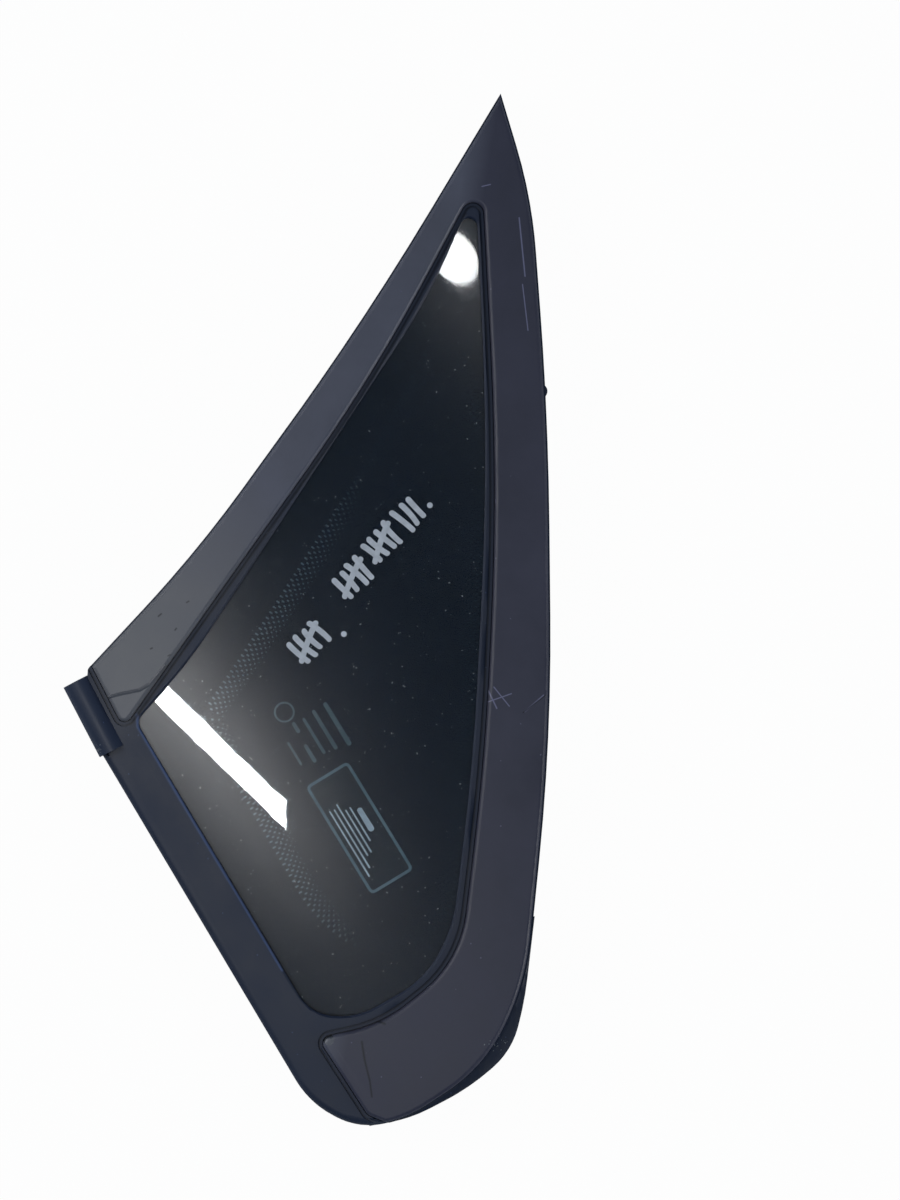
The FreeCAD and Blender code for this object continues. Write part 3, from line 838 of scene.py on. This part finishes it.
class WINDOW_OT_marker_strokes(bpy.types.Operator):
    """Draw the row of plain marker strokes on the glass"""

    bl_idname = "window.marker_strokes"
    bl_label = "Marker strokes"

    def execute(self, context):
        settings = context.scene.window_pane
        chance = random.Random(5)
        writing = Vector((math.cos(WRITING_ANGLE), math.sin(WRITING_ANGLE)))
        strokes = [(Vector(centre), 0.0, 0.0, 0.0) for centre in MARKER_DOTS]
        for centre, number, crossed in TALLIES:
            for index in range(number):
                spot = Vector(centre) + writing * (index - (number - 1) / 2) * TALLY_PITCH
                length = chance.uniform(*STROKE_LENGTHS)
                lean = 90 + chance.uniform(-STROKE_LEAN, STROKE_LEAN)
                strokes.append((spot, length, lean, chance.uniform(-STROKE_BOW, STROKE_BOW)))
            if crossed:
                strokes.append((Vector(centre), CROSSING_LENGTH, 24 + chance.uniform(-4, 4), 0.6))
        bm = bmesh.new()
        for layer, (centre, length, lean, bow) in enumerate(strokes):
            relief = MARKER_THICKNESS * (1 + layer / 100)
            add_stadium(bm, centre * MM, max(length * MM, settings.stroke_width), settings.stroke_width,
                        WRITING_ANGLE + math.radians(lean), relief, relief, bow=bow * MM, segments=16)
        finish_marks(bm, "marker_strokes", plain_print("marker", settings.stroke, 0.55, 0.5))
        return {"FINISHED"}


class WINDOW_OT_dust(bpy.types.Operator):
    """Scatter dust flecks and a few fine scratches over the glass"""

    bl_idname = "window.dust"
    bl_label = "Dust"

    def execute(self, context):
        settings = context.scene.window_pane
        chance = random.Random(7)
        frame_top = surface_tree("moulded_frame")
        glass_top = surface_tree("glass_pane")
        low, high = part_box("glass_pane")
        bm = bmesh.new()
        placed = 0
        while placed < settings.fleck_count:
            spot = Vector((chance.uniform(low.x, high.x), chance.uniform(low.y, high.y), high.z + 0.05))
            if frame_top.ray_cast(spot, DOWN)[0] or not glass_top.ray_cast(spot, DOWN)[0]:
                continue
            size = chance.choice((0.25, 0.3, 0.35, 0.5)) * MM
            add_stadium(bm, spot.xy, size * chance.uniform(1.0, 2.2), size, chance.uniform(0, math.pi), 0.00003,
                        0.00003, segments=6)
            placed += 1
        finish_marks(bm, "dust_flecks", plain_print("dust", (0.30, 0.34, 0.36), 0.8))
        return {"FINISHED"}


class WINDOW_OT_frame(bpy.types.Operator):
    """Give the moulded frame its finish"""

    bl_idname = "window.frame"
    bl_label = "Moulded frame"

    def execute(self, context):
        settings = context.scene.window_frame
        # The light marks paint a highlight along the frame's lip, where its bevel catches lamp light
        finish = moulded_finish("frame", settings.colour, settings.roughness, 0.00003, light=FRAME_PAINTED_HIGHLIGHTS)
        smooth_copy("moulded_frame", "frame_moulding", finish, 0.006, math.radians(28))
        return {"FINISHED"}


class WINDOW_OT_trim(bpy.types.Operator):
    """Make the wrapped cover trim"""

    bl_idname = "window.trim"
    bl_label = "Cover trim"

    def execute(self, context):
        settings = context.scene.window_trim
        dress("cover_trim", metal_finish(settings.metal))
        # Painted sheen: the wrap's front leg, and most of all its foot, are painted paler where lamp light shines on
        # them
        painted_sheen = wrap_painted_sheen(settings.colour, settings.front, settings.foot)
        finish = moulded_finish("wrap", settings.colour, settings.roughness, 0.00002, painted_sheen, WRAP_SCRATCHES,
                                WRAP_DARK_MARKS, WRAP_RIDGES, 0.03)
        smooth_copy("wrap_sheet", "wrap_main", finish, 0.006, math.radians(40))
        smooth_copy("wrap_patch", "wrap_foot", finish, 0.006, math.radians(40))
        return {"FINISHED"}


class WINDOW_OT_seal_end(bpy.types.Operator):
    """Give the rubber end of the belt seal its finish"""

    bl_idname = "window.seal_end"
    bl_label = "Seal end"

    def execute(self, context):
        settings = context.scene.window_frame
        dress("belt_seal_end", moulded_finish("rubber", scaled(settings.colour, 1.3), 0.48, 0.00004))
        return {"FINISHED"}


class WINDOW_OT_adhesive(bpy.types.Operator):
    """Give the adhesive bead its finish"""

    bl_idname = "window.adhesive"
    bl_label = "Adhesive"

    def execute(self, context):
        dress("adhesive_bead", adhesive_finish("adhesive", context.scene.window_frame.adhesive))
        return {"FINISHED"}


class WINDOW_OT_debris(bpy.types.Operator):
    """Strew white bits where they stuck"""

    bl_idname = "window.debris"
    bl_label = "Debris"

    def execute(self, context):
        chance = random.Random(11)
        grounds = [surface_tree(node) for node in ("moulded_frame", "belt_seal_end", "cover_trim", "wrap_sheet",
                                                   "adhesive_bead")]
        bits = bmesh.new()
        for centre, spread, number, size in DEBRIS:
            for turn in range(number):
                spot = Vector((centre[0] + chance.gauss(0, spread / 2), centre[1] + chance.gauss(0, spread / 2))) * MM
                add_lump(bits, grounds, spot, size * chance.uniform(0.5, 1.3) * MM, chance)
        piece_from(bits, "white_bits", plain_print("white_bits", (0.42, 0.43, 0.43), 0.8))
        return {"FINISHED"}


class WINDOW_OT_fixings(bpy.types.Operator):
    """Give the locating pins and the trim's clips their finishes"""

    bl_idname = "window.fixings"
    bl_label = "Pins and clips"

    def execute(self, context):
        pin = moulded_finish("pin", (0.02, 0.02, 0.022), 0.45, 0.00003)
        clip = moulded_finish("clip", (0.42, 0.43, 0.42), 0.5, 0.00003)
        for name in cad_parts:
            if name.startswith("locating_pin"):
                dress(name, pin)
            elif name.startswith("trim_clip"):
                dress(name, clip)
        return {"FINISHED"}


def add_lamp(name, centre, target, size, level):
    """Rectangular lamp aimed at a point; its level is the brightness of its face."""
    light = bpy.data.lights.new(name, "AREA")
    light.shape = "RECTANGLE"
    light.size, light.size_y = size
    light.energy = level * math.pi * size[0] * size[1]
    lamp = bpy.data.objects.new(name, light)
    lamp.location = centre
    lamp.rotation_euler = (Vector(target) - Vector(centre)).to_track_quat("-Z", "Y").to_euler()
    bpy.context.scene.collection.objects.link(lamp)
    return lamp


class WINDOW_OT_stage(bpy.types.Operator):
    """Set the floor, the lamps, the room light and the camera"""

    bl_idname = "window.stage"
    bl_label = "Stage"

    def execute(self, context):
        scene = context.scene
        settings = scene.window_stage
        scene.view_settings.view_transform = "Standard"

        bm = bmesh.new()
        bmesh.ops.create_grid(bm, x_segments=1, y_segments=1, size=4.0)
        mesh = bpy.data.meshes.new("floor")
        bm.to_mesh(mesh)
        bm.free()
        floor = bpy.data.objects.new("floor", mesh)
        scene.collection.objects.link(floor)
        material, tree, shader, _ = new_finish("floor", settings.floor, 0.8, Specular_IOR_Level=0.1)
        glow = tree.nodes.new("ShaderNodeEmission")
        glow.inputs["Color"].default_value = (1, 1, 1, 1)
        rays = tree.nodes.new("ShaderNodeLightPath")
        seen = add_math(tree, "MAXIMUM", rays.outputs["Is Camera Ray"], rays.outputs["Is Transmission Ray"])
        share = add_math(tree, "MULTIPLY", seen, settings.floor_glow)
        blend = tree.nodes.new("ShaderNodeMixShader")
        tree.links.new(share, blend.inputs["Fac"])
        tree.links.new(shader.outputs["BSDF"], blend.inputs[1])
        tree.links.new(glow.outputs["Emission"], blend.inputs[2])
        tree.links.new(blend.outputs["Shader"], tree.nodes["Material Output"].inputs["Surface"])
        mesh.materials.append(material)

        world = bpy.data.worlds.new("room")
        world.use_nodes = True
        room = world.node_tree.nodes["Background"]
        room.inputs["Color"].default_value = (*ROOM_COLOUR, 1)
        room.inputs["Strength"].default_value = settings.room
        scene.world = world

        for name, (centre, size, level) in SIDE_LAMPS.items():
            add_lamp(name, centre, (0, 0, 0), size, level)
        for name, (centre, size, level, turn, shape) in MIRRORED_LAMPS.items():
            lamp = add_lamp(name, centre, (centre[0], centre[1], 0.0), size, level)
            lamp.rotation_euler = (0, 0, turn)
            lamp.data.shape = shape
            lamp.visible_diffuse = False

        camera = bpy.data.objects.new("camera", bpy.data.cameras.new("camera"))
        scene.collection.objects.link(camera)
        camera.location = (*VIEW_CENTRE, settings.camera_height)
        reach = settings.camera_height - SHARP_HEIGHT
        camera.data.lens = camera.data.sensor_width * reach / settings.view_height
        camera.data.clip_end = 20.0
        scene.camera = camera
        return {"FINISHED"}


PIECE_OPERATORS = (
    WINDOW_OT_pane,
    WINDOW_OT_backing,
    WINDOW_OT_fade_dots,
    WINDOW_OT_prints,
    WINDOW_OT_marker_strokes,
    WINDOW_OT_dust,
    WINDOW_OT_frame,
    WINDOW_OT_trim,
    WINDOW_OT_seal_end,
    WINDOW_OT_adhesive,
    WINDOW_OT_debris,
    WINDOW_OT_fixings,
    WINDOW_OT_stage,
)
SETTINGS = (
    ("window_pane", PaneSettings),
    ("window_frame", FrameSettings),
    ("window_trim", TrimSettings),
    ("window_stage", StageSettings),
)


class WINDOW_PT_build(bpy.types.Panel):
    """Sizes, colours and steps of the window"""

    bl_label = "Quarter window"
    bl_space_type = "VIEW_3D"
    bl_region_type = "UI"
    bl_category = "Window"

    def draw(self, context):
        layout = self.layout
        for name, group in SETTINGS:
            box = layout.box()
            for key in group.__annotations__:
                box.prop(getattr(context.scene, name), key)
        for operator in PIECE_OPERATORS:
            layout.operator(operator.bl_idname)


def register():
    """Make the settings, the steps and the panel known to Blender."""
    for name, group in SETTINGS:
        bpy.utils.register_class(group)
        setattr(bpy.types.Scene, name, PointerProperty(type=group))
    for operator in PIECE_OPERATORS:
        bpy.utils.register_class(operator)
    bpy.utils.register_class(WINDOW_PT_build)


def unregister():
    """Take them out again."""
    bpy.utils.unregister_class(WINDOW_PT_build)
    for operator in reversed(PIECE_OPERATORS):
        bpy.utils.unregister_class(operator)
    for name, group in reversed(SETTINGS):
        delattr(bpy.types.Scene, name)
        bpy.utils.unregister_class(group)


def main():
    """Build the whole window."""
    register()
    for operator in PIECE_OPERATORS:
        step = operator.bl_idname.split(".")[1]
        getattr(bpy.ops.window, step)()


if __name__ == "__main__":
    main()
